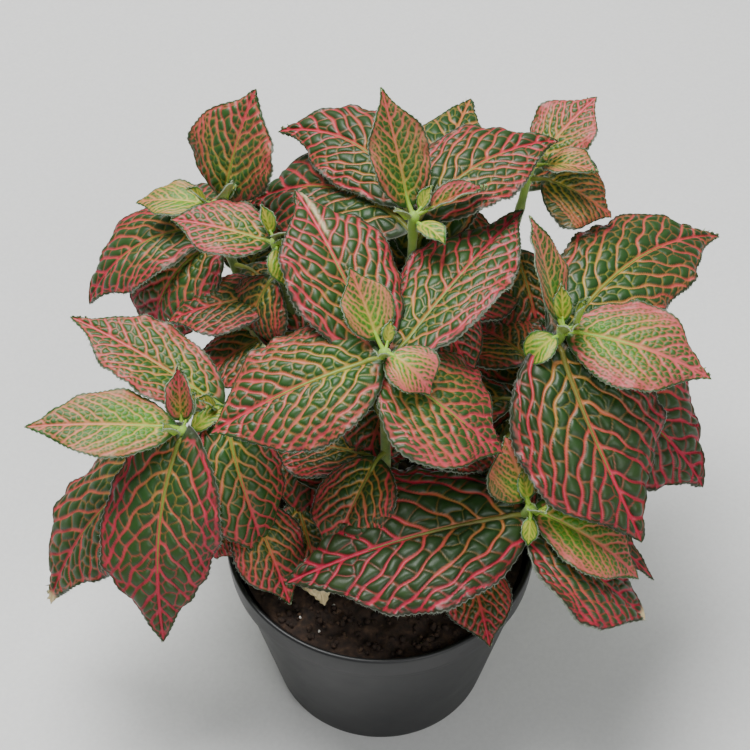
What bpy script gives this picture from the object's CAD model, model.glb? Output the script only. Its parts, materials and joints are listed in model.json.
import json
import math

import bmesh
import bpy
import numpy as np
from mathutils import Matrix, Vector

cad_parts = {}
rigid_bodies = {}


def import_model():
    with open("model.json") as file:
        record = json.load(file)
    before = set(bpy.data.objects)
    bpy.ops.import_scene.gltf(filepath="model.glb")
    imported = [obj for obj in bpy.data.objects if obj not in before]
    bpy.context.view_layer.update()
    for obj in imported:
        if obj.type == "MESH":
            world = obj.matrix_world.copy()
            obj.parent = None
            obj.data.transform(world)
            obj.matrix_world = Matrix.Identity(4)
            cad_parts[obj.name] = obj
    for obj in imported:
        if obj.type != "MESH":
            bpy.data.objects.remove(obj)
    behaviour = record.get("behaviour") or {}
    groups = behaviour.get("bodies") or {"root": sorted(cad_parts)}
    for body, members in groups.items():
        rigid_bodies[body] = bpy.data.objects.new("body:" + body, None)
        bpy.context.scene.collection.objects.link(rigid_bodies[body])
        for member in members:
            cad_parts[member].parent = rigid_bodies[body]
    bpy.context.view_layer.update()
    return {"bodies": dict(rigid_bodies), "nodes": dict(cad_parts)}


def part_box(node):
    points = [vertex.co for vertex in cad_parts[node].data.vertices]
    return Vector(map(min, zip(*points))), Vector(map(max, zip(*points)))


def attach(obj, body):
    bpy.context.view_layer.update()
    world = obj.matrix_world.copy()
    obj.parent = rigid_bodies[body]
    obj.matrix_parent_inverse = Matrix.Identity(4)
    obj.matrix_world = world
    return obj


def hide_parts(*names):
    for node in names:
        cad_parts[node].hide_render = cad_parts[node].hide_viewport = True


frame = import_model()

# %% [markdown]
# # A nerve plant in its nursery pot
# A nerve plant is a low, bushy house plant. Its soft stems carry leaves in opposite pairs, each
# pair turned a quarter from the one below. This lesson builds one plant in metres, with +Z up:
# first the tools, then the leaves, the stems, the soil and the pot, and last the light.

MM = 0.001
body = next(iter(frame["bodies"]))
print("the plant has", len(frame["nodes"]), "parts on the body", body)

# %% [markdown]
# ## Colours and nodes
# Each finish below is a small tree of nodes. Colours are written as sRGB hex codes, and one
# function turns them into the linear values that shaders work in. Another adds a node with its
# settings and links, so that a finish reads from its first pattern to its last coat of colour.


# %% A colour helper and a node helper
def linear(code):
    """An sRGB colour such as 3f6b2a as linear red, green and blue, with full alpha."""
    parts = [int(code[i : i + 2], 16) / 255 for i in (0, 2, 4)]
    return [p / 12.92 if p <= 0.04045 else ((p + 0.055) / 1.055) ** 2.4 for p in parts] + [1.0]


def feed(node, inputs):
    """Sets a node's inputs. A value is a number, a hex colour, or the output that feeds it."""
    for name, value in inputs.items():
        if isinstance(value, bpy.types.NodeSocket):
            node.id_data.links.new(value, node.inputs[name])
        else:
            node.inputs[name].default_value = linear(value) if isinstance(value, str) else value


def add(tree, kind, inputs, out=0, stops=(), **settings):
    """Adds a node, feeds it and gives back one output. Stops are a ramp's places and colours."""
    node = tree.nodes.new("ShaderNode" + kind)
    for name, value in settings.items():
        setattr(node, name, value)
    feed(node, inputs)
    if stops:
        elements = node.color_ramp.elements
        while len(elements) < len(stops):
            elements.new(0.5)
        for element, (place, code) in zip(elements, stops):
            element.position, element.color = place, linear(code)
    return node.outputs[out]


def new_material(name):
    """An empty material: its tree, its Principled shader and the material itself."""
    material = bpy.data.materials.new(name)
    material.use_nodes = True
    tree = material.node_tree
    return tree, tree.nodes["Principled BSDF"], material


# %% [markdown]
# ## The shoots
# Nine shoots lean out from the soil, and every leaf is placed by the point of a stem that it grows
# from. A stem could be drawn by hand, but a curve from its foot to its growing tip, bent by one
# more point between them, is enough: a soft stem rises and then leans where its weight takes it.

# %% Shoots
# Each shoot: the place of its growing tip (x, y, z) and of its root (x, y), in millimetres.
SHOOTS = {
    "centre": ((1, 8, 150), (2, 3)),
    "right": ((56, 27, 139), (17, 5)),
    "left": ((-61, 1, 122), (-20, -4)),
    "left_side": ((-48, 10, 121), (-17, 6)),
    "front": ((46, -15, 103), (13, -9)),
    "back": ((10, 54, 161), (3, 16)),
    "back_left": ((-53, 75, 145), (-14, 18)),
    "mid_left": ((-33, 54, 150), (-6, 9)),
    "back_right": ((48, 86, 152), (12, 16)),
}

# the soil's level at the pot's wall, and how much higher it stands at the middle, in mm
MIX_TOP, MIX_CROWN = 66.0, 1.5
pot_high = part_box("pot")[1]
POT_RIM_RADIUS, POT_HEIGHT = (round(pot_high[axis] / MM, 3) for axis in (0, 2))
STEM_FOOT = 3.3  # mm, from the soil to where a stem starts to lean


def mix_surface(radius):
    return MIX_TOP + MIX_CROWN * (1 - radius / POT_RIM_RADIUS)


def shoot_path(shoot, share):
    """Points on a shoot's axis in mm, from its foot (0) to its growing tip (1)."""
    tip, root = (np.array(p, float) for p in SHOOTS[shoot])
    root = np.append(root, mix_surface(np.hypot(*root)) + STEM_FOOT)
    bend = root + (tip - root) * (0.8, 0.8, 0.4)
    share = np.asarray(share, float)[..., None]
    return (1 - share) ** 2 * root + 2 * share * (1 - share) * bend + share**2 * tip


def shoot_node(shoot, drop):
    """The point this many mm down the axis from the growing tip."""
    path = shoot_path(shoot, np.linspace(1, 0, 61))
    run = np.cumsum(np.linalg.norm(np.diff(path, axis=0), axis=1))
    return path[1 + int(np.argmax(run >= drop))]


print(len(SHOOTS), "shoots, in a pot", 2 * POT_RIM_RADIUS, "mm across and", POT_HEIGHT, "mm high")

# %% [markdown]
# ## The leaves, one by one
# A leaf is placed by its node on the stem, by the line from the foot of its blade to its tip, and
# by how it arches, sweeps and folds. Chance would give an even bush. A list set by hand gives each
# growing tip its own rosette: two small leaves over two or three broad ones.

# %% Leaves
# Each leaf: its name, its shoot, how far down the stem it grows and the length of its stalk;
# then the azimuth and pitch of the line from the foot to the tip of its blade, the blade's
# length and width, its roll about that line, how far it arches down and sweeps to its left from
# foot to tip, how far its halves fold up from the midrib, and how far its edges curl down again.
# Millimetres, degrees.
LEAVES = (
    ("centre_young_up", "centre", 0, 4, 120, 44, 21, 17, 0, 10, 0, 20, 10),
    ("centre_young_side", "centre", 0, 1, -39, -29, 17, 18, 0, 70, 0, 12, 10),
    ("centre_broad_left", "centre", 4, 3, -165, -21, 53, 41, -12, 25, 0, 12, 40),
    ("centre_broad_back", "centre", 8, 7, 53, 6, 64, 37, -15, 20, 0, 18, 30),
    ("centre_high_left", "centre", 9, 7, 117, 19, 56, 36, 3, 35, 0, 18, 40),
    ("centre_broad_front", "centre", 7, 2, -23, -31, 42, 42, 0, 30, 25, 10, 30),
    ("right_bud", "right", 0, 2, -11, 77, 14, 5, 0, 10, 0, 30, 0),
    ("right_young_up", "right", 0, 4, 118, 54, 31, 16, 30, 15, 0, 20, 10),
    ("right_young_side", "right", 2, 3, -18, -9, 43, 31, 12, 35, 0, 8, 20),
    ("right_broad_side", "right", 9, 6, 44, -11, 80, 37, 12, 45, -25, 10, 30),
    ("right_broad_down", "right", 7, 2, -58, -39, 65, 50, 0, 35, 30, 10, 30),
    ("right_lower", "right", 17, 10, -18, -43, 60, 44, 20, 40, 0, 10, 30),
    ("left_young", "left", 0, 3, -178, 2, 42, 23, -12, 15, 0, 12, 20),
    ("left_folded", "left", 0, 2, 92, 63, 17, 11, 0, 20, 0, 40, 0),
    ("left_front", "left", 4, 2, -97, -57, 68, 38, 0, 35, 40, 8, 30),
    ("left_lower", "left", 16, 6, -159, -50, 78, 42, 0, 35, 50, 10, 30),
    ("left_side_back", "left_side", 2, 4, 150, 10, 52, 27, 0, 20, 0, 18, 20),
    ("left_side_front", "left_side", 3, 2, -58, -59, 50, 29, 0, 70, 50, 10, 30),
    ("front_young_up", "front", 0, 2, 121, 52, 20, 24, 0, 15, 0, 15, 10),
    ("front_young_side", "front", 3, 3, -15, -36, 40, 25, 5, 35, 0, 12, 20),
    ("front_bud", "front", 0, 3, -96, -42, 8, 6, 0, 20, 0, 30, 0),
    ("front_broad_left", "front", 5, 2, -166, -9, 73, 51, -8, 30, 0, 12, 35),
    ("front_lower", "front", 10, 7, -20, -38, 47, 40, -10, 30, 20, 10, 20),
    ("front_small", "right", 58, 6, -24, -30, 62, 22, 0, 30, 0, 10, 20),
    ("front_behind", "front", 26, 6, 105, 7, 24, 20, 0, 30, 0, 15, 20),
    ("back_young_up", "back", 0, 4, 114, 56, 35, 20, 0, 15, 0, 20, 10),
    ("back_folded", "back", 0, 4, 13, 17, 18, 10, 0, 20, 0, 40, 0),
    ("back_broad_left", "back", 9, 5, 151, -22, 64, 42, -10, 50, 40, 10, 40),
    ("back_broad_right", "back", 4, 5, 33, 3, 51, 33, 0, 35, -30, 15, 30),
    ("back_ruffled", "back", 5, 10, 139, -7, 55, 30, -15, 35, 55, 12, 30),
    ("back_far", "back", 22, 8, 74, 3, 67, 34, 0, 35, 0, 10, 30),
    ("back_left_upright", "back_left", 2, 4, 53, 61, 36, 33, 0, 25, 0, 14, 20),
    ("back_left_small", "back_left", 0, 4, -37, 73, 11, 8, 0, 20, 0, 20, 10),
    ("back_left_young", "back_left", 2, 3, 170, -10, 22, 16, 0, 30, 0, 15, 20),
    ("back_left_low", "back_left", 11, 6, -168, -37, 51, 32, 0, 60, 35, 10, 30),
    ("back_left_front", "back_left", 15, 4, -140, -54, 43, 40, 0, 80, 30, 10, 40),
    ("mid_left_side", "mid_left", 2, 2, 166, 3, 30, 23, -5, 20, 0, 14, 20),
    ("mid_left_folded", "mid_left", 0, 2, -47, 56, 11, 9, 0, 20, 0, 40, 0),
    ("mid_left_low", "mid_left", 14, 4, -136, -77, 27, 25, 0, 80, 0, 10, 40),
    ("back_right_top", "back_right", 2, 4, 42, 24, 26, 23, 0, 25, 0, 12, 20),
    ("back_right_small", "back_right", 0, 4, -28, 16, 18, 14, 0, 25, 0, 25, 10),
    ("back_right_low", "back_right", 6, 5, -20, -23, 24, 30, 0, 40, 0, 10, 30),
    ("inner_front", "left_side", 44, 7, -73, -25, 33, 26, 0, 40, 0, 10, 30),
    ("inner_left", "left", 36, 5, -120, -55, 18, 22, 0, 40, 0, 10, 20),
    ("inner_right", "right", 20, 6, 131, -16, 27, 28, 0, 30, 0, 10, 30),
    ("inner_back", "mid_left", 42, 6, -173, -21, 22, 22, 0, 30, 0, 10, 20),
    ("back_rear", "back", 30, 8, 95, -12, 56, 34, 0, 35, 0, 10, 30),
    ("back_left_rear", "back_left", 20, 8, 110, -25, 48, 32, 0, 35, 0, 10, 30),
    ("back_right_rear", "back_right", 16, 8, 80, -25, 46, 30, 0, 35, 0, 10, 30),
)

lengths = [row[6] for row in LEAVES]
print(len(LEAVES), "large leaves,", min(lengths), "to", max(lengths), "mm long")

# %% [markdown]
# ## Age, blush and damage
# A nerve plant's leaf opens lime green with a pale net. It darkens as it grows, and its net turns
# red where the light is strong. Low, old leaves dry at the tip. These three facts are kept apart
# from the form, so that a leaf's colour can change without moving it.

# %% Ages
# Each leaf's age (0 just open, 1 full grown) and its blush, which is how red its net has turned.
AGE_AND_BLUSH = {
    "centre_young_up": (0.12, 0.45),
    "centre_young_side": (0.12, 0.7),
    "centre_broad_left": (0.7, 0.6),
    "centre_broad_back": (0.75, 0.75),
    "centre_high_left": (0.8, 0.7),
    "centre_broad_front": (0.6, 0.75),
    "right_bud": (0.0, 0.0),
    "right_young_up": (0.25, 0.5),
    "right_young_side": (0.2, 0.75),
    "right_broad_side": (0.85, 0.45),
    "right_broad_down": (0.95, 0.65),
    "right_lower": (0.95, 0.8),
    "left_young": (0.15, 0.45),
    "left_folded": (0.3, 0.8),
    "left_front": (0.8, 0.95),
    "left_lower": (0.85, 0.55),
    "left_side_back": (0.5, 0.65),
    "left_side_front": (0.7, 0.65),
    "front_young_up": (0.25, 0.45),
    "front_young_side": (0.15, 0.65),
    "front_bud": (0.0, 0.0),
    "front_broad_left": (1.0, 0.75),
    "front_lower": (0.95, 0.75),
    "front_small": (0.9, 0.6),
    "back_young_up": (0.3, 0.5),
    "back_folded": (0.3, 0.9),
    "back_far": (0.8, 0.2),
    "back_left_upright": (0.65, 0.55),
    "back_left_small": (0.3, 0.5),
    "back_left_young": (0.1, 0.25),
    "back_left_low": (0.8, 0.7),
    "back_left_front": (0.75, 0.9),
    "mid_left_side": (0.5, 0.75),
    "mid_left_folded": (0.2, 0.5),
    "back_right_top": (0.5, 0.7),
    "back_right_small": (0.4, 0.4),
    "back_right_low": (0.9, 0.3),
}
USUAL_AGE_AND_BLUSH = (0.9, 0.55)

# The share of a leaf's length that has dried to a cream tip.
DRY_TIP = {"inner_front": 0.2, "left_lower": 0.06, "front_lower": 0.07}
STRIPED_LEAF = "centre_high_left"  # it has a pale scar beside the midrib, near its tip

# %% [markdown]
# ## The low leaves
# Under the rosettes, smaller leaves sit in the shade and close the crown, so that little of the
# soil shows from above. They differ little from each other, so their list is a shorter one.

# %% Low leaves
# Each low leaf: its name, its shoot, how far down it grows, the length of its stalk, its azimuth
# and pitch, its length and width, and how far it arches down.
LOW_LEAVES = [
    (f"low_{name}", shoot, drop, stalk, azimuth, pitch, length, width, 0, arch, 0, 12, 30)
    for name, shoot, drop, stalk, azimuth, pitch, length, width, arch in (
        ("centre_front", "centre", 46, 6, -118, -28, 34, 26, 35),
        ("centre_right", "centre", 42, 6, 5, -18, 36, 28, 35),
        ("centre_back", "centre", 34, 6, 118, -10, 30, 24, 30),
        ("mid_left", "mid_left", 34, 6, -158, -25, 32, 25, 40),
        ("mid_right", "mid_left", 30, 5, 30, -15, 28, 22, 30),
        ("right_back", "right", 30, 6, 115, -12, 36, 27, 35),
        ("right_front", "right", 44, 6, -100, -30, 32, 25, 35),
        ("back_front", "back", 26, 6, -58, -25, 32, 25, 40),
        ("back_side", "back", 44, 6, -150, -30, 32, 25, 40),
        ("left_front", "left", 36, 6, -62, -38, 32, 24, 35),
        ("left_side", "left_side", 36, 6, 130, -18, 34, 25, 35),
        ("front_back", "front", 30, 6, 152, -8, 34, 26, 35),
        ("front_side", "front", 34, 6, -75, -22, 28, 22, 35),
        ("back_left", "back_left", 42, 6, 60, -20, 34, 26, 35),
        ("back_left_front", "back_left", 30, 6, -70, -30, 30, 24, 35),
        ("back_right", "back_right", 34, 6, 150, -15, 36, 27, 35),
        ("mid_front", "mid_left", 62, 6, -95, -30, 36, 28, 35),
        ("mid_back", "mid_left", 46, 6, 50, -15, 32, 25, 35),
        ("left_inner", "left_side", 36, 6, 12, -8, 36, 27, 30),
        ("centre_left", "centre", 52, 6, 160, -18, 34, 26, 35),
        ("back_centre", "back", 56, 6, -110, -25, 34, 26, 35),
        ("right_inner", "right", 32, 6, 178, -12, 38, 28, 30),
        ("back_right_inner", "back_right", 58, 6, -92, -22, 36, 28, 35),
        ("back_right_side", "back_right", 46, 6, -160, -15, 36, 27, 35),
        ("mid_side", "mid_left", 24, 5, -178, -18, 34, 25, 35),
        ("back_left_inner", "back_left", 22, 6, -38, -14, 36, 26, 35),
        ("back_side_right", "back", 36, 6, 20, -14, 36, 27, 35),
        ("back_right_front", "back_right", 28, 6, -75, -28, 34, 26, 35),
        ("right_rear", "right", 58, 6, 56, -4, 36, 28, 35),
        ("back_left_inside", "back_left", 18, 6, 46, -8, 36, 27, 35),
        ("back_left_rear", "back_left", 32, 6, 78, -22, 38, 29, 35),
    )
]
print(len(LOW_LEAVES), "low leaves")

# %% [markdown]
# ## The form of one leaf
# The blade is an oval with a drawn-out tip. It arches down from its foot, its halves fold up from
# the midrib like an open book and their outer parts roll down again. Here that form is a set of
# formulas over a flat sheet: x runs from the foot to the tip and y out from the midrib, in mm.

# %% Leaf form
STEM_RADIUS = 1.6  # mm
STALK_START = 2.6  # mm, from the stem's axis to where a stalk starts
STALK_RISE = 0.4  # slope at which a stalk leaves its stem
RISE, FALL = 0.55, 0.85  # powers that round the blade at its foot and narrow it to its tip


def smooth(low, high, value):
    """0 below the first value, 1 above the second, and an eased slope between them."""
    share = np.clip((value - low) / (high - low), 0, 1)
    return share * share * (3 - 2 * share)


def direction(azimuth, pitch):
    level = np.cos(pitch)
    return np.stack([level * np.cos(azimuth), level * np.sin(azimuth), np.sin(pitch)], -1)


class Leaf:
    def __init__(self, row):
        self.name, shoot, drop, stalk, azimuth, pitch, self.length, width = row[:8]
        self.roll, self.arch, self.sweep, self.fold, self.curl = map(math.radians, row[8:])
        self.azimuth, self.pitch = math.radians(azimuth), math.radians(pitch)
        self.half = 0.5 * width
        self.age, self.blush = AGE_AND_BLUSH.get(self.name, USUAL_AGE_AND_BLUSH)
        # the usual size of a cell between veins, which grows with the leaf, in mm
        self.cell = max(1.3, min(0.065 * self.length, 1.5 + 3.1 * self.age**2))
        node = shoot_node(shoot, drop)
        outward = direction(self.azimuth - 0.5 * self.sweep, math.atan(STALK_RISE))
        self.joint = node + 0.6 * STEM_RADIUS * outward
        self.bend = node + (STALK_START + 0.5 * stalk) * outward
        self.foot = self.bend + 0.5 * stalk * self.heading(0.0)
        fine = np.linspace(0, 1, 301)
        steps = self.heading(0.5 * (fine[1:] + fine[:-1])) * self.length / 300
        self.path = fine, np.vstack([[0, 0, 0], np.cumsum(steps, axis=0)]) + self.foot

    def heading(self, along):
        """The way the midrib runs at this share of its length."""
        turn = np.asarray(along) - 0.5
        return direction(self.azimuth + self.sweep * turn, self.pitch - self.arch * turn)

    def spine(self, along):
        """Points on the midrib in mm."""
        fine, path = self.path
        return np.stack([np.interp(along, fine, path[:, k]) for k in range(3)], -1)

    def frame(self, along):
        """Unit vectors leftward and upward across the midrib, turned by the leaf's roll."""
        heading = self.heading(along)
        left = np.stack([-heading[..., 1], heading[..., 0], 0 * heading[..., 0]], -1)
        left /= np.linalg.norm(left, axis=-1, keepdims=True)
        up = np.cross(heading, left)
        turned = left * math.cos(self.roll) + up * math.sin(self.roll)
        return turned, np.cross(heading, turned)

    def reach(self, along):
        """The half width of the blade in mm, down to a fine point at the tip."""
        widest = RISE / (RISE + FALL)
        peak = widest**RISE * (1 - widest) ** FALL
        inside = np.clip(along, 0, 1)
        blade = self.half * inside**RISE * (1 - inside) ** FALL / peak
        blade *= 1 - 0.5 * smooth(0.58, 0.96, inside)
        return np.maximum(blade, 0.8 * (1 - inside) ** 2 + 0.15)

    def place(self, along, out):
        """Points of the bent sheet, at this share of the length and this many mm out."""
        left, up = self.frame(along)
        across = np.clip(np.abs(out) / self.reach(along), 0, 1.1)
        slope = self.fold - 0.5 * self.curl * across
        side = (out * np.cos(slope))[..., None] * left
        return self.spine(along) + side + (np.abs(out) * np.sin(slope))[..., None] * up


broadest = Leaf(max(LEAVES, key=lambda row: row[7]))
print("the broadest leaf,", broadest.name, "is", 2 * broadest.half, "mm wide")

# %% [markdown]
# ## Side veins
# The plant is named for its veins. Pairs of side veins leave the midrib and arch towards the tip,
# the lower ones more squarely than the upper ones. An image or a plain Voronoi pattern would not
# follow the leaf, so each vein is a curve in the blade's own x and y, and a slow sway bends the
# whole net, since no vein is quite straight.

# %% Side veins
FAR = 9.0  # mm, further than any point is from a vein


def swayed(leaf, x, y, rng):
    """The place where the straight net is looked up for each point, in mm."""
    cell = leaf.cell
    phase = rng.uniform(0, 2 * math.pi, 3)
    away = smooth(0, 1.2 * cell, y)
    sway_x = 0.13 * cell * np.sin((1.1 * x + 2.9 * y) / cell + phase[0])
    sway_x += 0.09 * cell * np.sin((1.3 * x - 2.1 * y) / cell + phase[1])
    sway_y = 0.13 * cell * away * np.sin((2.6 * x - 0.9 * y) / cell + phase[2])
    return x + sway_x, y + sway_y


def side_veins(leaf, q, rng):
    """Where each side vein of one half lies along the leaf in mm, and its slope, at q half widths
    out. The first two and the last one stand for the outer branches of their neighbours."""
    pairs = 5 if leaf.length < 14 else 7 if leaf.length < 48 else 8
    order = np.arange(pairs) / (pairs - 1)
    root = leaf.length * (0.03 + 0.8 * order**1.1)
    root[1:] += rng.uniform(-0.15, 0.15, pairs - 1) * leaf.length / pairs
    root = np.concatenate([[-0.2 * leaf.length, -0.08 * leaf.length], root, [0.93 * leaf.length]])
    order = np.concatenate([[0, 0], order, [1]])
    lean, bend = 0.4 + 0.6 * order**0.6, 1.25 - 0.5 * order
    q = q[..., None]
    return root + leaf.half * (lean * q + bend * q**2), lean + 2 * bend * q


def strips_between(lines, slopes, along):
    """For each point: which strip between two side veins it is in, its place across that strip
    (0 to 1), the strip's width in mm, the slope of its lower vein, and the mm to a side vein."""
    last = lines.shape[-1] - 1
    strip = np.clip((along[..., None] > lines).sum(-1), 1, last)

    def pick(values, shift):
        return np.take_along_axis(values, strip[..., None] + shift, -1)[..., 0]

    low, high, slope = pick(lines, -1), pick(lines, 0), pick(slopes, -1)
    tilt = 1 / np.sqrt(1 + slope**2)
    share = (along - low) / (high - low)
    width = (high - low) * tilt
    to_low = np.where((strip == 1) & (share < 0), FAR, np.abs(share) * width)
    to_high = np.where((strip == last) & (share > 1), FAR, np.abs(1 - share) * width)
    return strip, share, width, slope, np.minimum(to_low, to_high)


# %% [markdown]
# ## Cross-veins
# Thin cross-veins cut the strips into rounded cells: one row where a strip is narrow, two or three
# where it is wide. Points are strewn along each strip, one for each cell, and the border between
# the two nearest points is a cross-vein. It is how cells share out room in a real leaf.


# %% Cross-veins
def cell_sites(leaf, here, width, run, q, rng):
    """The middles of the cells in one strip: the place across it (0 to 1), and the mm along it."""
    sites = []
    at, end = leaf.cell * rng.uniform(0.3, 0.7), run[here].max() + leaf.cell
    while at < end:
        near = here & (np.abs(run - at) < 1.2)
        wide = width[near].mean() if near.any() else leaf.cell
        outer = q[near].mean() if near.any() else 1.0
        size = leaf.cell * (1 - 0.35 * smooth(0.3, 0.9, outer))
        rows = int(np.clip(round(wide / (0.95 * size)), 1, 3))
        for row in range(rows):
            jog = (row % 2) * 0.5 * size + rng.uniform(-0.1, 0.1) * size
            sites.append(((row + 0.5 + rng.uniform(-0.12, 0.12)) / rows, at + jog))
        at += size * rng.uniform(0.8, 1.4)
    return np.array(sites)


def cross_veins(leaf, strip, share, width, run, q, rng):
    """How far each point is from a cross-vein, in mm."""
    to_cross = np.full(strip.shape, FAR)
    for k in range(1, strip.max() + 1):
        here = strip == k
        if not here.any():
            continue
        sites = cell_sites(leaf, here, width, run, q, rng)
        if len(sites) < 2:
            continue
        wide = width[here][:, None]
        gap = np.hypot((share[here][:, None] - sites[:, 0]) * wide, run[here][:, None] - sites[:, 1])
        nearest = np.argsort(gap, axis=1)[:, :2]
        near, next_near = np.take_along_axis(gap, nearest, 1).T
        ends = sites[nearest]
        apart = np.hypot((ends[:, 0, 0] - ends[:, 1, 0]) * wide[:, 0], ends[:, 0, 1] - ends[:, 1, 1])
        to_cross[here] = (next_near**2 - near**2) / (2 * np.maximum(apart, 0.3))
    return to_cross


# %% [markdown]
# ## The whole net
# The midrib, the side veins, the cross-veins and a scalloped loop that ties them together inside
# the margin are four distances. Each one less half its vein's width says how far a point is from
# that vein's edge, and a minimum with a rounded corner joins them, so that cells have no sharp
# corners.


# %% Vein net
def soft_min(a, b, blend):
    """The smaller of two values, with the change from one to the other rounded off."""
    share = np.clip(0.5 + 0.5 * (b - a) / blend, 0, 1)
    return b + (a - b) * share - blend * share * (1 - share)


def vein_net(leaf, x, y, rng):
    """For one half of a blade: how strongly the main veins and the whole net cover each point,
    how far it is from any vein in mm, and its place between two side veins (0 to 1)."""
    scale = 0.5 + 0.5 * np.clip(leaf.half / 20, 0.2, 1.3)
    along, out = swayed(leaf, x, y, rng)
    q = np.maximum(out, 0) / leaf.half
    lines, slopes = side_veins(leaf, q, rng)
    strip, share, width, slope, to_side = strips_between(lines, slopes, along)
    tilt = 1 / np.sqrt(1 + slope**2)
    run = (out + share * width * slope * tilt) * np.sqrt(1 + (0.45 * slope) ** 2)
    to_cross = cross_veins(leaf, strip, share, width, run, q, rng)

    reach = leaf.reach(x / leaf.length)
    rim = reach - y
    outer = np.clip(y / reach, 0, 1)
    midrib = y - 0.62 * scale * (1 - 0.6 * x / leaf.length)
    side = to_side - (0.27 - 0.07 * outer) * scale
    cross = to_cross - (0.05 + 0.1 * smooth(0.35, 0.85, outer)) * scale
    loop = np.abs(rim - (1.5 + 0.3 * np.cos(2 * math.pi * share)) * scale) - 0.05 * scale
    main = soft_min(midrib, side, 0.9 * scale)
    whole = soft_min(soft_min(main, cross, 0.7 * scale), loop, 0.5 * scale)
    inside = smooth(0.5, 1.1, rim / scale)
    covered = [(1 - smooth(-0.1, 0.26, beyond)) * inside for beyond in (main, whole)]
    return *covered, np.clip(np.minimum(whole, rim), 0, None), share

# %% [markdown]
# ## Meshes from numbers
# A leaf is modelled as a fine closed sheet, because its quilting is real relief: each cell swells
# up between sunken veins. That is too fine for modelling by hand, so points and faces are worked
# out as arrays. Stalks and stems are tubes along a path, and a hair is a spike of three faces.


# %% Mesh, tube and spikes
def mesh_object(name, points, faces, uv=None, values=None):
    """A smooth mesh object from points in mm, with stored values and a map for its textures."""
    mesh = bpy.data.meshes.new(name)
    mesh.from_pydata((points * MM).tolist(), [], faces)
    mesh.polygons.foreach_set("use_smooth", [True] * len(mesh.polygons))
    for label, value in (values or {}).items():
        layer = mesh.attributes.new(label, "FLOAT", "POINT")
        layer.data.foreach_set("value", value.astype(np.float32))
    if uv is not None:
        mesh.uv_layers.new(name="OFBake").data.foreach_set("uv", uv.astype(np.float32).ravel())
    mesh.validate()
    obj = bpy.data.objects.new(name, mesh)
    bpy.context.scene.collection.objects.link(obj)
    return obj


def tube(path, radii, side, sides=14):
    """Points, faces and map of a round tube along a path, open at its ends, and the unit vector
    that points out from the path at each of its points."""
    tangent = np.gradient(path, axis=0)
    tangent /= np.linalg.norm(tangent, axis=1, keepdims=True)
    left = side - (side * tangent).sum(1, keepdims=True) * tangent
    left /= np.linalg.norm(left, axis=1, keepdims=True)
    up = np.cross(tangent, left)
    angle = np.arange(sides) / sides * 2 * math.pi
    ring = np.cos(angle)[None, :, None] * left[:, None] + np.sin(angle)[None, :, None] * up[:, None]
    points = (path[:, None] + radii[:, None, None] * ring).reshape(-1, 3)
    rings = len(path)
    i, j = np.meshgrid(np.arange(rings - 1), np.arange(sides), indexing="ij")
    k = (j + 1) % sides
    faces = np.stack([i * sides + j, i * sides + k, (i + 1) * sides + k, (i + 1) * sides + j], -1)
    u0, u1, v0, v1 = j / sides, (j + 1) / sides, i / rings, (i + 1) / rings
    uv = np.stack([u0, v0, u1, v0, u1, v1, u0, v1], -1).reshape(-1, 4, 2)
    return points, faces.reshape(-1, 4), uv, ring.reshape(-1, 3)


def spikes(root, away, rng, half_width=0.04):
    """Points and faces of fine hairs that stand on these points and taper away from them."""
    corners = root[:, None] + rng.normal(0, half_width, (len(root), 3, 3))
    points = np.concatenate([corners, (root + away)[:, None]], 1).reshape(-1, 3)
    faces = 4 * np.arange(len(root))[:, None, None] + np.array([(0, 1, 3), (1, 2, 3), (2, 0, 3)])
    return points, faces.reshape(-1, 3)


# %% [markdown]
# ## The blade
# The flat sheet is a grid, closer set near the foot. It gets its net, then small teeth along the
# margin, a ruffle that grows towards it, and the relief of the net. The leaf's form bends it, and
# a copy of it a little lower is its underside.

# %% Blade
SPACING = 0.4  # mm between points on a large leaf, about the width of a cross-vein


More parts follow.
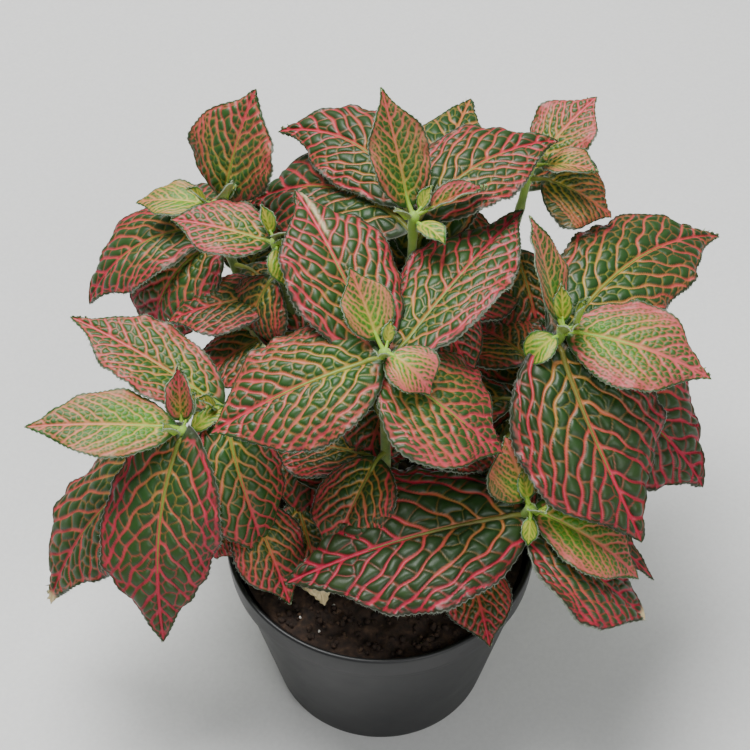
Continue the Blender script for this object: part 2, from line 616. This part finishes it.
class Blade:
    def __init__(self, leaf, rng):
        self.leaf = leaf
        self.scale = np.clip(leaf.half / 20, 0.4, 1.15)
        spacing = SPACING * (0.4 + 0.6 * self.scale)
        rows = max(24, int(1.15 * leaf.length / spacing)) + 1
        half_columns = max(8, int(leaf.half / spacing))
        self.t = np.linspace(0, 1, rows)
        across = np.linspace(-1, 1, 2 * half_columns + 1)
        # u runs from foot to tip, v from margin to margin, and edge from the midrib to a margin
        self.u, self.v = np.meshgrid(self.t**1.25, across, indexing="ij")
        self.edge = np.abs(self.v)
        reach = leaf.reach(self.u)
        self.x, self.y, self.out = self.u * leaf.length, self.edge * reach, self.v * reach
        self.find_veins(rng)
        self.find_surface(rng)

    def find_veins(self, rng):
        """The cover of the net, the domes of the cells between it and the place between veins."""
        net = np.zeros((4, *self.u.shape))
        for part in (self.v[0] < 0, self.v[0] >= 0):
            net[:, :, part] = vein_net(self.leaf, self.x[:, part], self.y[:, part], rng)
        self.main, self.whole, clear, self.share = net
        self.dome = 1 - (1 - np.clip(2.6 * clear / self.leaf.cell, 0, 1)) ** 2

    def find_surface(self, rng):
        """The points of the top and of the underside, in mm."""
        leaf, scale, x, edge = self.leaf, self.scale, self.x, self.edge
        phase = rng.uniform(0, 6.28, 8)
        sign = np.where(self.v < 0, -1.0, 1.0)
        shift = np.where(self.v < 0, phase[0], phase[1])
        size = 0.4 + 0.6 * scale  # of a tooth, in mm
        tooth = np.abs(np.sin(math.pi * x / (1.3 + 0.6 * scale) + 0.5 * np.sin(x * 0.7 + shift) + shift))
        teeth = size * (0.5 * (tooth - 0.6) + 0.35 * np.sin(x / 2.9 + 2 * shift))
        out = self.out + sign * edge**9 * teeth * smooth(0, 0.05, self.u) * smooth(1, 0.96, self.u)

        ruffle = np.sin(x / (1.35 + 0.35 * scale) + 1.3 * np.sin(x / 4.7 + shift) + shift)
        wave = 0.8 * size * ruffle * edge**5
        wave += 1.3 * scale * np.sin(x / (4.5 * scale + 1) + 2 * shift) * edge**3
        wave *= np.sin(math.pi * np.clip(self.u, 0, 1)) ** 0.5
        pillow = np.sin(math.pi * np.clip(self.share, 0, 1))
        pillow = pillow * smooth(0.03, 0.3, edge) * smooth(1, 0.75, edge)
        groove = 0.35 * np.exp(-((self.y / (1.1 * scale)) ** 2))
        relief = 0.6 * self.dome + 0.35 * pillow - 0.2 * self.main - groove
        height = wave + relief * scale * (0.55 + 0.45 * leaf.age)

        base = leaf.place(self.u, out)
        # the foot of the blade is heart-shaped: its two sides reach back past the stalk
        base -= leaf.heading(self.u) * (0.1 * leaf.length * edge**2 * (1 - self.u) ** 9)[..., None]
        normal = np.cross(np.gradient(base, axis=0), np.gradient(base, axis=1))
        normal /= np.maximum(np.linalg.norm(normal, axis=-1, keepdims=True), 1e-9)
        self.top = base + height[..., None] * normal
        self.bottom = self.top - (0.36 + 0.1 * leaf.age) * normal

    def faces(self):
        """Faces of the top, of the underside and of the rim that joins them, each with its map."""
        rows, columns = self.u.shape
        index = np.arange(rows * columns).reshape(rows, columns)
        a, b, c, d = index[:-1, :-1], index[1:, :-1], index[1:, 1:], index[:-1, 1:]
        upper = np.stack([a, b, c, d], -1).reshape(-1, 4)
        ring = np.concatenate([index[0, :-1], index[:-1, -1], index[-1, :0:-1], index[:0:-1, 0]])
        after = np.roll(ring, -1)
        below = rows * columns
        rim = np.stack([ring, after, after + below, ring + below], -1)

        length = 0.02 + 0.96 * np.broadcast_to(self.t[:, None], self.u.shape)
        flat = np.stack([0.22 * (self.v + 1) + 0.015, length], -1).reshape(-1, 2)
        push = np.zeros((rows, columns, 2))
        push[:, 0, 0], push[:, -1, 0], push[0, :, 1], push[-1, :, 1] = -0.006, 0.006, -0.01, 0.01
        pushed = flat + push.reshape(-1, 2)
        uv_rim = np.stack([flat[ring], flat[after], pushed[after], pushed[ring]], 1)
        lower = upper[:, ::-1]
        return (upper, lower + below, rim), (flat[upper], flat[lower] + (0.46, 0), uv_rim)


# %% [markdown]
# ## Stalk and hairs
# The stalk is round and runs on under the midrib as a rib, so it is one tube from the stem to two
# thirds of the way along the blade. Soft hairs stand all round the margin, and give a leaf seen
# against the dark its fine pale outline.

# %% Stalk and margin hairs
HAIRS_PER_MM = 3  # of margin
RIB_END = 0.62  # share of the blade's length that the rib runs under


def leaf_stalk(leaf):
    share = np.linspace(0, 1, 9)[:-1, None]
    stalk = (1 - share) ** 2 * leaf.joint + 2 * share * (1 - share) * leaf.bend + share**2 * leaf.foot
    under = np.linspace(0, RIB_END, 18)
    left, up = leaf.frame(under)
    thick = (0.42 + 0.022 * leaf.half) * (1 - 0.8 * under / RIB_END)
    rib = leaf.spine(under) - up * (0.45 + 0.35 * thick)[:, None] * smooth(-0.02, 0.05, under)[:, None]
    radii = np.concatenate([np.linspace(1.25, 1.0, len(stalk)) * thick[0], thick])
    side = np.vstack([np.repeat(left[:1], len(stalk), axis=0), left])
    points, faces, uv, _ = tube(np.vstack([stalk, rib]), radii, side)
    return points, faces, uv * (0.035, 0.96) + (0.945, 0.02)


def margin_hairs(blade, rng):
    top, bottom = blade.top, blade.bottom
    border = np.concatenate([top[:, 0], top[:, -1]])
    outward = np.concatenate([top[:, 0] - top[:, 2], top[:, -1] - top[:, -3]])
    outward /= np.linalg.norm(outward, axis=1, keepdims=True)
    count = int(HAIRS_PER_MM * 2 * blade.leaf.length)
    where = rng.integers(len(top) // 30, len(border) - 2, count)
    root = 0.5 * (border + np.concatenate([bottom[:, 0], bottom[:, -1]]))[where]
    away = (outward[where] + rng.normal(0, 0.35, root.shape)) * rng.uniform(0.35, 0.85, (count, 1))
    points, faces = spikes(root, away, rng)
    return points, faces, np.tile([(0.986, 0.1), (0.998, 0.1), (0.992, 0.2)], (len(faces), 1))


# %% [markdown]
# ## A leaf put together
# The three pieces become one mesh. What the formulas found, such as the cover of the net, is kept
# at each point of it, so that one finish can paint every leaf from its own numbers.


# %% Leaf mesh
def leaf_values(blade, stalk_count, hair_count):
    """What is kept at each point, on the blade's top and underside, the stalk and the hairs."""
    leaf, u, edge = blade.leaf, blade.u, blade.edge
    spread = np.maximum(u**1.2, 0.95 * edge**1.7)
    red = leaf.blush * (0.22 + 0.85 * smooth(0.05, 0.8, spread))
    later = 0.5 * np.maximum(u, 0.8 * edge) - 0.12
    ripe = np.clip(leaf.age + (1 - leaf.age) * later, 0, 1)
    brink = np.zeros(u.shape)
    brink[:, [0, -1]] = 0.45
    brink[[0, -1]] = 0.45
    dry_tip = DRY_TIP.get(leaf.name, 0.0)
    dry = smooth(1 - 1.3 * dry_tip, 1 - 0.6 * dry_tip, u) * (dry_tip > 0)
    if leaf.name == STRIPED_LEAF:
        dry = 0.8 * np.exp(-(((blade.out + 1.5) / 0.7) ** 2)) * smooth(0.6, 0.7, u)
    values = {
        "main_vein": (blade.main, blade.main, 0, 0),
        "whole_net": (blade.whole, blade.whole, 0, 0),
        "dome": (blade.dome, blade.dome, 0, 0),
        "edge": (edge, edge, 0, 0),
        "red": (red, red, 0.25 * leaf.blush, 0),
        "ripe": (ripe, ripe, leaf.age, 1),
        "dry": (dry, dry, 0, 0),
        "pale_hair": (brink, brink, 0, 0.9),
        "top_side": (1, 0, 0.5, 1),
        "stalk": (0, 0, 1, 0),
    }
    counts = (u.size, u.size, stalk_count, hair_count)
    return {
        name: np.concatenate([np.broadcast_to(np.ravel(v), n) for v, n in zip(parts, counts)])
        for name, parts in values.items()
    }


def leaf_mesh(leaf, rng):
    blade = Blade(leaf, rng)
    sheets, sheet_maps = blade.faces()
    stalk_points, stalk_faces, stalk_map = leaf_stalk(leaf)
    hair_points, hair_faces, hair_map = margin_hairs(blade, rng)
    points = np.vstack([blade.top.reshape(-1, 3), blade.bottom.reshape(-1, 3), stalk_points, hair_points])
    first_stalk = 2 * blade.u.size
    groups = (*sheets, stalk_faces + first_stalk, hair_faces + first_stalk + len(stalk_points))
    faces = [face for group in groups for face in group.tolist()]
    uv = np.concatenate([part.reshape(-1, 2) for part in (*sheet_maps, stalk_map, hair_map)])
    values = leaf_values(blade, len(stalk_points), len(hair_points))
    return mesh_object(f"leaf_{leaf.name}_look", points, faces, uv, values)


# %% [markdown]
# ## The finish of a leaf
# Leaf skin is a thin wax over living cells: satin, with an IOR near 1.42. The blade is a soft green
# that darkens with age, and the net turns from yellow-green in the bud through tan to rose red.
# Short hairs give the surface a pale sheen when it is seen along its slope, and outline the
# margin. The underside is pale green. Two patterns vary this: patches 6 mm across, and a grain of
# 0.7 mm, which stands for skin cells that are really ten times finer.

# %% Leaf material
LEAF_PATCH, LEAF_GRAIN = 6 * MM, 0.7 * MM
STORED = ("ripe", "red", "edge", "dome", "main_vein", "whole_net", "top_side", "stalk", "dry", "pale_hair")


def painted(tree, colour, *coats):
    """A colour under coats of paint. Each coat is what it follows, how strongly, and its paint."""
    for cover, strength, paint in coats:
        amount = add(tree, "Math", {0: cover, 1: strength}, operation="MULTIPLY")
        # inputs 6 and 7 and output 2 of a Mix node are its colours
        colour = add(tree, "Mix", {0: amount, 6: colour, 7: paint}, 2, data_type="RGBA")
    return colour


def leaf_material(name, roughness, sheen):
    tree, shader, material = new_material(name)
    place = add(tree, "TexCoord", {}, "Object")
    ripe, red, edge, dome, main_vein, whole_net, top_side, stalk, dry, pale_hair = (
        add(tree, "Attribute", {}, "Fac", attribute_name=label) for label in STORED
    )
    patches = {"Vector": place, "Scale": 1 / LEAF_PATCH, "Detail": 2.0, "W": 1.0}
    patchy = add(tree, "TexNoise", patches, noise_dimensions="4D")
    grains = {"Vector": place, "Scale": 1 / LEAF_GRAIN, "Detail": 3.0, "W": 2.0}
    grain = add(tree, "TexNoise", grains, noise_dimensions="4D")
    centred = add(tree, "Math", {0: patchy, 1: 0.5}, operation="SUBTRACT")
    uneven = add(tree, "Math", {0: centred, 1: 0.35}, operation="MULTIPLY")

    # the blade, dark near its margin where it is old
    age = add(tree, "Math", {0: ripe, 1: uneven}, operation="ADD")
    greens = [(0, "86b01c"), (0.1, "4a8a16"), (0.35, "225810"), (0.7, "18480f"), (1, "0d2d0a")]
    blade = add(tree, "ValToRGB", {"Fac": age}, stops=greens)
    near_edge = add(tree, "MapRange", {0: edge, 1: 0.9, 2: 1.0})
    older = add(tree, "Math", {0: ripe, 1: 0.5, 2: 0.3}, operation="MULTIPLY_ADD")
    blade = painted(tree, blade, (dome, 0.15, "4f7d3e"), (near_edge, older, "161d14"), (red, 0.1, "6a2a22"))

    # the net, which is paler on a tender leaf and greener in its finest veins
    worn = add(tree, "Math", {0: red, 1: uneven}, operation="ADD")
    reds = [(0, "aaa436"), (0.14, "b87f40"), (0.3, "c65046"), (0.55, "c62346"), (1, "b20f3a")]
    net = add(tree, "ValToRGB", {"Fac": worn}, stops=reds)
    tender = add(tree, "Math", {0: 1.0, 1: ripe}, operation="SUBTRACT")
    light_net = painted(tree, "c3ca55", (red, 1.3, "de8a80"))
    net = painted(tree, net, (tender, 0.5, light_net))
    greener = add(tree, "Math", {0: 0.85, 1: worn}, operation="SUBTRACT")
    fine = painted(tree, net, (greener, 1.0, "6f8a2c"))
    clearness = add(tree, "MapRange", {0: ripe, 1: 0.78, 2: 1.0, 3: 0.88, 4: 0.5})
    top = painted(tree, blade, (whole_net, clearness, fine), (main_vein, 0.95, net))
    dulled = add(tree, "Math", {0: grain, 1: 0.22}, operation="MULTIPLY")
    shade = {0: dulled, 6: top, 7: "2c3a22"}
    top = add(tree, "Mix", shade, 2, data_type="RGBA", blend_type="MULTIPLY")

    # the underside, the stalk, and what is dry or hairy on any of them
    pale_net = painted(tree, "97a678", (0.3, 1.0, net))
    below = painted(tree, "94a578", (main_vein, 1.0, pale_net), (tender, 0.8, "8cb03c"))
    green_stalk = painted(tree, "758a38", (patchy, 1.0, "74502f"), (tender, 1.0, "90b83a"))
    colour = painted(tree, below, (top_side, 1.0, top), (stalk, 1.0, green_stalk))
    colour = painted(tree, colour, (dry, 1.0, "cdbb8e"), (pale_hair, 1.0, "aab3a2"))

    rough = add(tree, "MapRange", {0: grain, 3: roughness - 0.06, 4: roughness + 0.1})
    relief = add(tree, "Bump", {"Height": grain, "Distance": 0.05 * MM, "Strength": 0.6}, "Normal")
    feed(shader, {"Base Color": colour, "Roughness": rough, "IOR": 1.42, "Normal": relief})
    feed(shader, {"Sheen Weight": sheen, "Sheen Roughness": 0.45, "Sheen Tint": "dfe8dc"})
    return material


mature_finish = leaf_material("satin hairy leaf skin, full grown", 0.41, 0.05)
young_finish = leaf_material("satin hairy leaf skin, newly opened", 0.45, 0.08)
print("two finishes of leaf skin, each from", len(STORED), "stored values")

# %% [markdown]
# ## All the leaves
# Each large leaf takes the place of the plain solid with the same name. Two more kinds are only
# shown: the low leaves, and the leaflets that crowd every growing tip. A growing tip unfolds a
# pair of leaflets at a time, so those are a loop, and a few that have spread are added by hand.

# %% Leaves and leaflets
LEAFLETS = [
    (f"leaflet_{shoot}_{k}", shoot, 0, 1, turn + 180 * k, 52, size + k, 0.6 * size, 0, 20, 0, 30, 0)
    for shoot, turn, size in (
        ("centre", 75, 7),
        ("right", 95, 11),
        ("left", 60, 9),
        ("left_side", 20, 8),
        ("front", 110, 10),
        ("back", 45, 8),
        ("back_left", 10, 8),
        ("mid_left", 120, 9),
        ("back_right", 80, 7),
    )
    for k in range(2)
] + [
    ("leaflet_right_hanging", "right", 3, 1, -145, -38, 12, 11, 0, 60, 0, 25, 20),
    ("leaflet_mid_left_hanging", "mid_left", 3, 1, -75, -40, 12, 10, 0, 60, 0, 25, 20),
    ("leaflet_left_spread", "left", 4, 1, 35, 5, 13, 8, 0, 50, 0, 20, 20),
    ("leaflet_back_spread", "back", 3, 1, -50, 0, 12, 8, 0, 60, 0, 20, 20),
]
FIRST_LEAF_SEED = 11
vertices = 0
for number, row in enumerate((*LEAVES, *LOW_LEAVES, *LEAFLETS)):
    leaf = Leaf(row)
    leaflet = row in LEAFLETS
    if leaflet:
        leaf.age, leaf.blush = 0.0, 0.05
    obj = leaf_mesh(leaf, np.random.default_rng(number + FIRST_LEAF_SEED))
    vertices += len(obj.data.vertices)
    tender = leaflet or any(word in leaf.name for word in ("young", "bud", "folded", "small"))
    obj.data.materials.append(young_finish if tender else mature_finish)
    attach(obj, body)
    if row in LEAVES:
        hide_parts(f"leaf_{leaf.name}")
print(vertices, "vertices in the leaves and leaflets")

# %% [markdown]
# ## Stems
# The stems are round, pale green and furred with short soft hairs, and they thicken where each
# pair of leaves joins. A curve with a bevel would make the tube, but not the thickened nodes, so
# the tube of the stalks is used again. The hairs are set at random, but always the same way.

# %% Stems
HAIRS_PER_STEM = 260
STEM_SIDES, STEM_RINGS = 20, 90
STEM_STREAK = 2.5 * MM  # length of a pale or brown patch


def stem_material():
    tree, shader, material = new_material("soft hairy stem")
    place = add(tree, "TexCoord", {}, "Object")
    streaks = {"Vector": place, "Scale": 1 / STEM_STREAK, "Detail": 3.0, "W": 4.0}
    streak = add(tree, "TexNoise", streaks, noise_dimensions="4D")
    skin = [(0.3, "4f662c"), (0.6, "70823f"), (0.8, "7f6a42")]
    colour = add(tree, "ValToRGB", {"Fac": streak}, stops=skin)
    fresh = add(tree, "Attribute", {}, "Fac", attribute_name="fresh")
    colour = painted(tree, colour, (fresh, 0.8, "8fbb3a"))
    relief = add(tree, "Bump", {"Height": streak, "Distance": 0.08 * MM}, "Normal")
    feed(shader, {"Base Color": colour, "Roughness": 0.55, "IOR": 1.42, "Normal": relief})
    feed(shader, {"Sheen Weight": 0.5, "Sheen Tint": "e3ead2"})
    return material


def stem_mesh(shoot, rng):
    path = shoot_path(shoot, np.linspace(0, 1, STEM_RINGS))
    path = np.vstack([path[0] - (0, 0, STEM_FOOT + 1.5), path[0] - (0, 0, 1.5), path])
    radii = STEM_RADIUS * np.linspace(1.12, 0.82, len(path))
    for row in LEAVES:
        if row[1] == shoot:
            gap = np.linalg.norm(path - shoot_node(shoot, row[2]), axis=1)
            radii += 0.28 * np.exp(-((gap / 1.6) ** 2))
    radii[-1] *= 0.35
    points, faces, _, around = tube(path, radii, np.array([1.0, 0.0, 0.0]), STEM_SIDES)
    pick = rng.integers(3 * STEM_SIDES, len(points) - STEM_SIDES, HAIRS_PER_STEM)
    away = around[pick] + rng.normal(0, 0.35, (HAIRS_PER_STEM, 3))
    hair_points, hair_faces = spikes(points[pick], away * rng.uniform(0.5, 1.0, (HAIRS_PER_STEM, 1)), rng)
    last_ring = len(points) - STEM_SIDES
    caps = [list(range(STEM_SIDES - 1, -1, -1)), list(range(last_ring, len(points)))]
    faces = faces.tolist() + (hair_faces + len(points)).tolist() + caps
    share = np.repeat(np.linspace(0, 1, len(path)), STEM_SIDES)
    fresh = {"fresh": np.append(smooth(0.8, 1.0, share), np.ones(len(hair_points)))}
    return mesh_object(f"stem_{shoot}_look", np.vstack([points, hair_points]), faces, values=fresh)


stem_finish = stem_material()
FIRST_STEM_SEED = 100
for number, shoot in enumerate(SHOOTS):
    obj = stem_mesh(shoot, np.random.default_rng(FIRST_STEM_SEED + number))
    obj.data.materials.append(stem_finish)
    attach(obj, body)
    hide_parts(f"stem_{shoot}")
print(len(SHOOTS), "stems with", HAIRS_PER_STEM, "hairs each")

# %% [markdown]
# ## The potting mix
# House plant mix is dark peat with crumbs of bark and white perlite. Its body is turned like the
# pot, and its top is roughened by a sum of random ripples. Displacement by a texture would do as
# well, but ripples are plain numbers, and they can stop short of the pot's wall.


# %% Body of the mix
def turned(name, profile, segments, lift=None):
    """A closed body turned about Z from (radius, height) points in mm, which start and end at 0."""
    angle = np.arange(segments) / segments * 2 * math.pi
    rings = np.array(profile[1:-1], float)
    radius, height = (np.repeat(rings[:, k : k + 1], segments, 1) for k in range(2))
    points = np.stack([radius * np.cos(angle), radius * np.sin(angle), height], -1)
    if lift is not None:
        points[..., 2] += lift(points)
    i, j = np.meshgrid(np.arange(len(rings) - 1), np.arange(segments), indexing="ij")
    k = (j + 1) % segments
    faces = np.stack([i * segments + j, (i + 1) * segments + j, (i + 1) * segments + k, i * segments + k], -1)
    faces = faces.reshape(-1, 4).tolist()
    first, last = len(rings) * segments, len(rings) * segments + 1
    points = np.vstack([points.reshape(-1, 3), [0, 0, profile[0][1]], [0, 0, profile[-1][1]]])
    below = (len(rings) - 1) * segments
    faces += [(first, j, (j + 1) % segments) for j in range(segments)]
    faces += [(last, below + (j + 1) % segments, below + j) for j in range(segments)]
    return mesh_object(name, points, faces)


def ripples(points):
    """How much higher or lower the mix lies at each point, in mm: nothing near the pot's wall."""
    rng = np.random.default_rng(5)
    height = 0
    for _ in range(26):
        length = rng.uniform(1.6, 14)
        turn, phase = rng.uniform(0, 2 * math.pi, 2)
        place = points[..., 0] * math.cos(turn) + points[..., 1] * math.sin(turn)
        height = height + 0.035 * length**0.7 * np.sin(2 * math.pi * place / length + phase)
    radius = np.hypot(points[..., 0], points[..., 1])
    return height * (points[..., 2] > MIX_TOP - 2) * smooth(47, 44, radius)


MIX_RADIUS = 46.3  # mm, at its top
MIX_LOW = 0.3  # mm, how far its ripples lie below the plain surface
MIX_BOTTOM = 2.5  # mm, just over the pot's floor
rings = [(r, mix_surface(r) - MIX_LOW) for r in np.linspace(0.5, MIX_RADIUS, 90)]
side = [(45.1, 60), (36.0, MIX_BOTTOM)]
profile = [(0, mix_surface(0) - MIX_LOW), *rings, *side, (0, MIX_BOTTOM)]
mix_body = turned("potting_mix_look", profile, 240, ripples)
print("the mix is", round(2 * MIX_RADIUS), "mm across")

# %% [markdown]
# ## Crumbs and perlite
# Loose crumbs of peat 1 to 3 mm across lie on the mix, with a few grains of perlite, a volcanic
# glass that heat has puffed up to white foam. Each is the hull of a few points, stretched and
# turned by chance.


# %% Loose grains
def lump_shape():
    """The points and faces of one round lump."""
    steps = (-1, 0, 1)
    ball = [(x, y, z) for x in steps for y in steps for z in steps if (x, y, z) != (0, 0, 0)]
    ball = np.array(ball, float) / np.linalg.norm(ball, axis=1, keepdims=True)
    lump = bpy.data.meshes.new("lump")
    tool = bmesh.new()
    for point in ball:
        tool.verts.new(point)
    bmesh.ops.convex_hull(tool, input=tool.verts)
    tool.to_mesh(lump)
    tool.free()
    shape = np.array([v.co for v in lump.vertices])
    sides = [tuple(p.vertices) for p in lump.polygons]
    bpy.data.meshes.remove(lump)
    return shape, sides


def crumbs(count, low, high, seed):
    """Rough lumps this many mm across that lie on the mix, as points and faces."""
    rng = np.random.default_rng(seed)
    shape, sides = lump_shape()
    points, faces = [], []
    for _ in range(count):
        radius, turn = 45 * math.sqrt(rng.uniform(0.0, 1.0)), rng.uniform(0, 2 * math.pi)
        size = rng.uniform(low, high) * rng.uniform(0.6, 1.0, 3)
        spot = np.array([radius * math.cos(turn), radius * math.sin(turn), 0])
        spot[2] = mix_surface(radius) - 0.1 + 0.25 * size[2]
        rough = shape * rng.uniform(0.75, 1.15, (len(shape), 1)) * size / 2
        twist = rng.uniform(0, math.pi)
        turned_x = rough[:, 0] * math.cos(twist) - rough[:, 1] * math.sin(twist)
        turned_y = rough[:, 0] * math.sin(twist) + rough[:, 1] * math.cos(twist)
        start = len(points) * len(shape)
        points.append(np.stack([turned_x, turned_y, rough[:, 2]], -1) + spot)
        faces += [tuple(start + v for v in side) for side in sides]
    return np.vstack(points), faces


peat_crumbs = mesh_object("peat_crumbs", *crumbs(1100, 0.7, 2.8, 21))
perlite = mesh_object("perlite", *crumbs(30, 1.2, 2.4, 22))
print(len(peat_crumbs.data.polygons), "faces of crumbs and", len(perlite.data.polygons), "of perlite")

# %% [markdown]
# ## The finish of the mix
# Damp peat is dark brown, fibrous and quite matte. Perlite is off-white and matte too. Both are
# lumpy at about 2 mm, so one function makes both finishes.


# %% Peat and perlite
def mix_material(name, stops, roughness):
    tree, shader, material = new_material(name)
    place = add(tree, "TexCoord", {}, "Object")
    lump = {"Vector": place, "Scale": 1 / (2.2 * MM), "Detail": 5.0, "W": 7.0}
    lumps = add(tree, "TexNoise", lump, noise_dimensions="4D")
    colour = add(tree, "ValToRGB", {"Fac": lumps}, stops=stops)
    relief = add(tree, "Bump", {"Height": lumps, "Distance": 0.5 * MM}, "Normal")
    feed(shader, {"Base Color": colour, "Roughness": roughness, "Normal": relief})
    return material


peat_finish = mix_material("damp peat", [(0.3, "18100b"), (0.55, "33241a"), (0.8, "5a4330")], 0.92)
perlite_finish = mix_material("expanded perlite", [(0.3, "b9b5aa"), (0.7, "e6e3da")], 0.85)
for obj, finish in ((mix_body, peat_finish), (peat_crumbs, peat_finish), (perlite, perlite_finish)):
    obj.data.materials.append(finish)
    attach(obj, body)
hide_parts("potting_mix")
print("the mix has", peat_finish.name, "and", perlite_finish.name)

# %% [markdown]
# ## The pot
# A nursery pot is moulded in one piece: a plain taper, a thicker lip that is rounded at its top,
# and a floor that is raised inside a foot ring and holed for drainage. It is turned from one
# profile, and the holes are cut by cylinders.

# %% Pot
POT_SEGMENTS = 160
LIP_ROUND = 0.9  # mm, radius of the lip's rounded top
POT_FLOOR = 2.0  # mm, height of the floor's upper side
DRAIN_COUNT, DRAIN_RADIUS, DRAIN_CIRCLE = 6, 3.5 * MM, 24 * MM


def pot_profile():
    """The pot's section in mm, from the middle of its underside round to the middle of its floor."""
    foot = [(31.6, 0.9), (32.0, 0.7), (32.2, 0.15), (32.6, 0.0), (35.2, 0.0), (35.7, 0.15), (36.0, 0.5)]
    wall = [(36.2 + 11.5 * s, 1.2 + 57.6 * s) for s in np.linspace(0, 1, 24)]
    step = [(47.75, 59.2), (48.0, 59.7), (48.6, 59.9), (49.2, 60.05)]
    step += [(49.45, 60.4), (49.7, 63.0), (49.95, 66.0)]
    middle, top = POT_RIM_RADIUS - LIP_ROUND, POT_HEIGHT - LIP_ROUND
    turns = np.linspace(1.57, -1.57, 11)
    lip = [(middle + LIP_ROUND * math.sin(a), top + LIP_ROUND * math.cos(a)) for a in turns]
    inside = [(35.7 + 11.0 * s, 3.0 + 56.5 * s) for s in np.linspace(1, 0, 16)]
    corner = [(35.6, 2.3), (35.2, POT_FLOOR), (0.6, POT_FLOOR), (0, POT_FLOOR)]
    return [(0, 0.9), (0.6, 0.9), *foot, *wall, *step, *lip, (47.6, 66.0), *inside, *corner]


def moulded_pot():
    """The turned pot with its drain holes cut through."""
    raw_pot = turned("raw_pot", pot_profile()[::-1], POT_SEGMENTS)
    drills = []
    for k in range(DRAIN_COUNT):
        angle = 2 * math.pi * (k + 0.5) / DRAIN_COUNT
        bpy.ops.mesh.primitive_cylinder_add(vertices=28, radius=DRAIN_RADIUS, depth=8 * MM)
        drill = bpy.context.object
        drill.location = (DRAIN_CIRCLE * math.cos(angle), DRAIN_CIRCLE * math.sin(angle), 1 * MM)
        cut = raw_pot.modifiers.new(f"drain_{k}", "BOOLEAN")
        cut.operation, cut.object = "DIFFERENCE", drill
        drills.append(drill)
    graph = bpy.context.evaluated_depsgraph_get()
    mesh = bpy.data.meshes.new_from_object(raw_pot.evaluated_get(graph))
    for helper in (raw_pot, *drills):
        bpy.data.objects.remove(helper)
    mesh.shade_smooth()
    mesh.set_sharp_from_angle(angle=math.radians(35))
    obj = bpy.data.objects.new("pot_look", mesh)
    bpy.context.scene.collection.objects.link(obj)
    return obj


pot = moulded_pot()
print("pot:", len(pot.data.polygons), "faces")

# %% [markdown]
# ## The finish of the pot
# The pot is polypropylene (IOR 1.49), moulded in carbon black. The mould leaves a very fine
# texture that breaks its gloss, and handling leaves duller scuffs about 9 mm across.


# %% Pot material
def pot_material():
    tree, shader, material = new_material("moulded black polypropylene")
    place = add(tree, "TexCoord", {}, "Object")
    scuffs = {"Vector": place, "Scale": 1 / (9 * MM), "Detail": 4.0, "W": 3.0}
    scuff = add(tree, "TexNoise", scuffs, noise_dimensions="4D")
    texture = {"Vector": place, "Scale": 1 / (0.6 * MM), "Detail": 2.0, "W": 6.0}
    mould = add(tree, "TexNoise", texture, noise_dimensions="4D")
    colour = add(tree, "ValToRGB", {"Fac": scuff}, stops=[(0.35, "0d0e0f"), (0.75, "171819")])
    rough = add(tree, "MapRange", {0: scuff, 3: 0.36, 4: 0.56})
    relief = add(tree, "Bump", {"Height": mould, "Distance": 0.03 * MM, "Strength": 0.5}, "Normal")
    feed(shader, {"Base Color": colour, "Roughness": rough, "IOR": 1.49, "Normal": relief})
    return material


pot.data.materials.clear()
pot.data.materials.append(pot_material())
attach(pot, body)
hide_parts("pot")
print("the pot's finish is", pot.data.materials[0].name)

# %% [markdown]
# ## Floor, light and camera
# The plant stands on a plain pale floor. One broad soft light hangs over and a little behind it,
# so that the quilting catches a sheen, with a weaker one in front. The camera is a long lens that
# looks down at the crown by about 50 degrees.

# %% Stage
FLOOR_HALF = 4.0  # metres
LIGHT_AIM = (0, 0.03, 0.1)
CAMERA_PLACE, CAMERA_AIM = Vector((-0.0019, -0.3795, 0.6001)), Vector((-0.0019, 0.0383, 0.1021))


def studio_floor():
    tree, shader, material = new_material("matte pale paper")
    place = add(tree, "TexCoord", {}, "Object")
    fibres = {"Vector": place, "Scale": 1 / (1.5 * MM), "Detail": 3.0, "W": 8.0}
    fibre = add(tree, "TexNoise", fibres, noise_dimensions="4D")
    colour = add(tree, "ValToRGB", {"Fac": fibre}, stops=[(0.3, "d9d9d7"), (0.7, "dfdfdd")])
    feed(shader, {"Base Color": colour, "Roughness": 0.9})
    mesh = bpy.data.meshes.new("floor")
    corners = [(FLOOR_HALF * x, FLOOR_HALF * y, 0) for x, y in ((-1, -1), (1, -1), (1, 1), (-1, 1))]
    mesh.from_pydata(corners, [], [(0, 1, 2, 3)])
    mesh.materials.append(material)
    floor = bpy.data.objects.new("floor", mesh)
    bpy.context.scene.collection.objects.link(floor)
    return floor


def softbox(name, place, size, watts):
    """A round soft light, this many metres across, that faces the plant."""
    light = bpy.data.lights.new(name, "AREA")
    light.shape, light.size, light.energy = "DISK", size, watts
    obj = bpy.data.objects.new(name, light)
    obj.location = place
    obj.rotation_euler = (Vector(LIGHT_AIM) - Vector(place)).to_track_quat("-Z", "Y").to_euler()
    bpy.context.scene.collection.objects.link(obj)


studio_floor()
softbox("key", (-0.25, 0.35, 1.3), 0.9, 30)
softbox("fill", (0.5, -1.0, 0.9), 0.9, 8)
world = bpy.data.worlds.new("studio")
bpy.context.scene.world = world
world.use_nodes = True
feed(world.node_tree.nodes["Background"], {"Color": "e8ecf0", "Strength": 0.3})

camera_data = bpy.data.cameras.new("camera")
camera_data.lens = 96.7
camera = bpy.data.objects.new("camera", camera_data)
camera.location = CAMERA_PLACE
camera.rotation_euler = (CAMERA_AIM - CAMERA_PLACE).to_track_quat("-Z", "Y").to_euler()
bpy.context.scene.collection.objects.link(camera)
bpy.context.scene.camera = camera
print("the camera is", round((CAMERA_AIM - CAMERA_PLACE).length, 2), "m from the plant")
